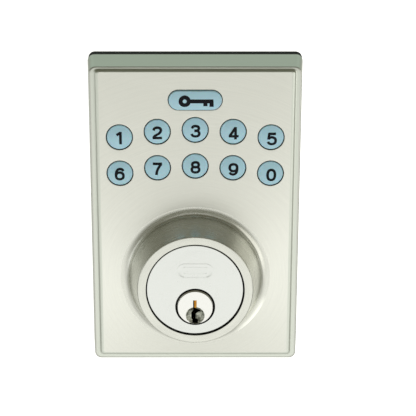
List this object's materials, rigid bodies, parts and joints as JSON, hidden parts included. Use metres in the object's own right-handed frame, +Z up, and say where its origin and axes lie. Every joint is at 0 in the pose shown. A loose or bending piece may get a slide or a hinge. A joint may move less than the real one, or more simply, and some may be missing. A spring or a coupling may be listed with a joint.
{
  "type": "keypad deadbolt lock exterior",
  "caption": "Satin nickel keypad deadbolt exterior: round keys in two curved rows, a long lock key, and a flared boss with a key cylinder whose tailpiece turns the bolt.",
  "frame": {"origin": "on the axis of the round boss, where it meets the face of the door (the back of the gasket)", "axes": "+X to the right seen from outside, +Y into the door, +Z up"},
  "size_m": [0.0702, 0.0878, 0.1043],
  "materials": {
    "satin_nickel": "satin nickel plate over die-cast zinc, brushed in circles round the boss",
    "face_nickel": "fine satin nickel",
    "plug_nickel": "bright nickel, lightly brushed",
    "zinc_steel": "bright zinc plate",
    "spring_steel": "drawn spring wire",
    "brass": "turned brass",
    "gasket_rubber": "matt black moulded rubber",
    "silicone": "translucent grey silicone",
    "key_blue": "pale blue moulded keys with printed black marks",
    "board_green": "green solder mask on glass-fibre board",
    "black_plastic": "moulded black resin",
    "white_nylon": "moulded natural nylon"
  },
  "bodies": {
    "lock_body": {"housing": "satin_nickel", "gasket": "gasket_rubber", "back_plate": "zinc_steel", "back_plate_screw_1": "zinc_steel", "back_plate_screw_2": "zinc_steel", "back_plate_screw_3": "zinc_steel", "back_plate_screw_4": "zinc_steel", "bolt_post_left": "zinc_steel", "bolt_post_right": "zinc_steel", "keypad_mat": "silicone", "circuit_board": "board_green", "board_screw_1": "zinc_steel", "board_screw_2": "zinc_steel", "board_screw_3": "zinc_steel", "board_screw_4": "zinc_steel", "controller_chip": "black_plastic", "sounder": "black_plastic", "cable_header": "white_nylon", "cylinder_body": "face_nickel", "cylinder_screw_1": "zinc_steel", "cylinder_screw_2": "zinc_steel", "pin_chamber_cover": "brass", "pin_spring_1": "spring_steel", "pin_spring_2": "spring_steel", "pin_spring_3": "spring_steel", "pin_spring_4": "spring_steel", "pin_spring_5": "spring_steel"},
    "button_1": {"button_1": "key_blue"},
    "button_2": {"button_2": "key_blue"},
    "button_3": {"button_3": "key_blue"},
    "button_4": {"button_4": "key_blue"},
    "button_5": {"button_5": "key_blue"},
    "button_6": {"button_6": "key_blue"},
    "button_7": {"button_7": "key_blue"},
    "button_8": {"button_8": "key_blue"},
    "button_9": {"button_9": "key_blue"},
    "button_0": {"button_0": "key_blue"},
    "lock_button": {"lock_button": "key_blue"},
    "plug": {"key_plug": "plug_nickel", "plug_cap": "zinc_steel", "plug_cap_screw_1": "zinc_steel", "plug_cap_screw_2": "zinc_steel"},
    "tailpiece": {"tailpiece": "zinc_steel"},
    "key_pin_1": {"key_pin_1": "brass"},
    "key_pin_2": {"key_pin_2": "brass"},
    "key_pin_3": {"key_pin_3": "brass"},
    "key_pin_4": {"key_pin_4": "brass"},
    "key_pin_5": {"key_pin_5": "brass"},
    "driver_pin_1": {"driver_pin_1": "brass"},
    "driver_pin_2": {"driver_pin_2": "brass"},
    "driver_pin_3": {"driver_pin_3": "brass"},
    "driver_pin_4": {"driver_pin_4": "brass"},
    "driver_pin_5": {"driver_pin_5": "brass"}
  },
  "joints": [
    {"name": "button_1_press", "type": "slide", "parent": "lock_body", "child": "button_1", "axis": [0, 1, 0], "range_m": [0, 0.001], "stiffness_N_per_m": 1000, "springref_m": -0.0003, "deforming": ["keypad_mat"]},
    {"name": "button_2_press", "type": "slide", "parent": "lock_body", "child": "button_2", "axis": [0, 1, 0], "range_m": [0, 0.001], "stiffness_N_per_m": 1000, "springref_m": -0.0003, "deforming": ["keypad_mat"]},
    {"name": "button_3_press", "type": "slide", "parent": "lock_body", "child": "button_3", "axis": [0, 1, 0], "range_m": [0, 0.001], "stiffness_N_per_m": 1000, "springref_m": -0.0003, "deforming": ["keypad_mat"]},
    {"name": "button_4_press", "type": "slide", "parent": "lock_body", "child": "button_4", "axis": [0, 1, 0], "range_m": [0, 0.001], "stiffness_N_per_m": 1000, "springref_m": -0.0003, "deforming": ["keypad_mat"]},
    {"name": "button_5_press", "type": "slide", "parent": "lock_body", "child": "button_5", "axis": [0, 1, 0], "range_m": [0, 0.001], "stiffness_N_per_m": 1000, "springref_m": -0.0003, "deforming": ["keypad_mat"]},
    {"name": "button_6_press", "type": "slide", "parent": "lock_body", "child": "button_6", "axis": [0, 1, 0], "range_m": [0, 0.001], "stiffness_N_per_m": 1000, "springref_m": -0.0003, "deforming": ["keypad_mat"]},
    {"name": "button_7_press", "type": "slide", "parent": "lock_body", "child": "button_7", "axis": [0, 1, 0], "range_m": [0, 0.001], "stiffness_N_per_m": 1000, "springref_m": -0.0003, "deforming": ["keypad_mat"]},
    {"name": "button_8_press", "type": "slide", "parent": "lock_body", "child": "button_8", "axis": [0, 1, 0], "range_m": [0, 0.001], "stiffness_N_per_m": 1000, "springref_m": -0.0003, "deforming": ["keypad_mat"]},
    {"name": "button_9_press", "type": "slide", "parent": "lock_body", "child": "button_9", "axis": [0, 1, 0], "range_m": [0, 0.001], "stiffness_N_per_m": 1000, "springref_m": -0.0003, "deforming": ["keypad_mat"]},
    {"name": "button_0_press", "type": "slide", "parent": "lock_body", "child": "button_0", "axis": [0, 1, 0], "range_m": [0, 0.001], "stiffness_N_per_m": 1000, "springref_m": -0.0003, "deforming": ["keypad_mat"]},
    {"name": "lock_button_press", "type": "slide", "parent": "lock_body", "child": "lock_button", "axis": [0, 1, 0], "range_m": [0, 0.001], "stiffness_N_per_m": 1000, "springref_m": -0.0003, "deforming": ["keypad_mat"]},
    {"name": "plug_turn", "type": "hinge", "parent": "lock_body", "child": "plug", "pos_m": [0, 0, -0.006], "axis": [0, 1, 0], "range_deg": [-90, 90]},
    {"name": "tailpiece_turn", "type": "hinge", "parent": "plug", "child": "tailpiece", "pos_m": [0, 0, -0.006], "axis": [0, 1, 0], "range_deg": [-90, 0]},
    {"name": "key_pin_1_drop", "type": "slide", "parent": "plug", "child": "key_pin_1", "axis": [0, 0, 1], "range_m": [-0.00045, 0]},
    {"name": "key_pin_2_drop", "type": "slide", "parent": "plug", "child": "key_pin_2", "axis": [0, 0, 1], "range_m": [-0.00155, 0]},
    {"name": "key_pin_3_drop", "type": "slide", "parent": "plug", "child": "key_pin_3", "axis": [0, 0, 1], "range_m": [-0.00095, 0]},
    {"name": "key_pin_4_drop", "type": "slide", "parent": "plug", "child": "key_pin_4", "axis": [0, 0, 1], "range_m": [-0.00195, 0]},
    {"name": "key_pin_5_drop", "type": "slide", "parent": "plug", "child": "key_pin_5", "axis": [0, 0, 1], "range_m": [-0.00125, 0]},
    {"name": "driver_pin_1_lift", "type": "slide", "parent": "lock_body", "child": "driver_pin_1", "axis": [0, 0, 1], "range_m": [0, 0.0016], "stiffness_N_per_m": 150, "springref_m": -0.003, "deforming": ["pin_spring_1"]},
    {"name": "driver_pin_2_lift", "type": "slide", "parent": "lock_body", "child": "driver_pin_2", "axis": [0, 0, 1], "range_m": [0, 0.0016], "stiffness_N_per_m": 150, "springref_m": -0.003, "deforming": ["pin_spring_2"]},
    {"name": "driver_pin_3_lift", "type": "slide", "parent": "lock_body", "child": "driver_pin_3", "axis": [0, 0, 1], "range_m": [0, 0.0016], "stiffness_N_per_m": 150, "springref_m": -0.003, "deforming": ["pin_spring_3"]},
    {"name": "driver_pin_4_lift", "type": "slide", "parent": "lock_body", "child": "driver_pin_4", "axis": [0, 0, 1], "range_m": [0, 0.0016], "stiffness_N_per_m": 150, "springref_m": -0.003, "deforming": ["pin_spring_4"]},
    {"name": "driver_pin_5_lift", "type": "slide", "parent": "lock_body", "child": "driver_pin_5", "axis": [0, 0, 1], "range_m": [0, 0.0016], "stiffness_N_per_m": 150, "springref_m": -0.003, "deforming": ["pin_spring_5"]}
  ]
}
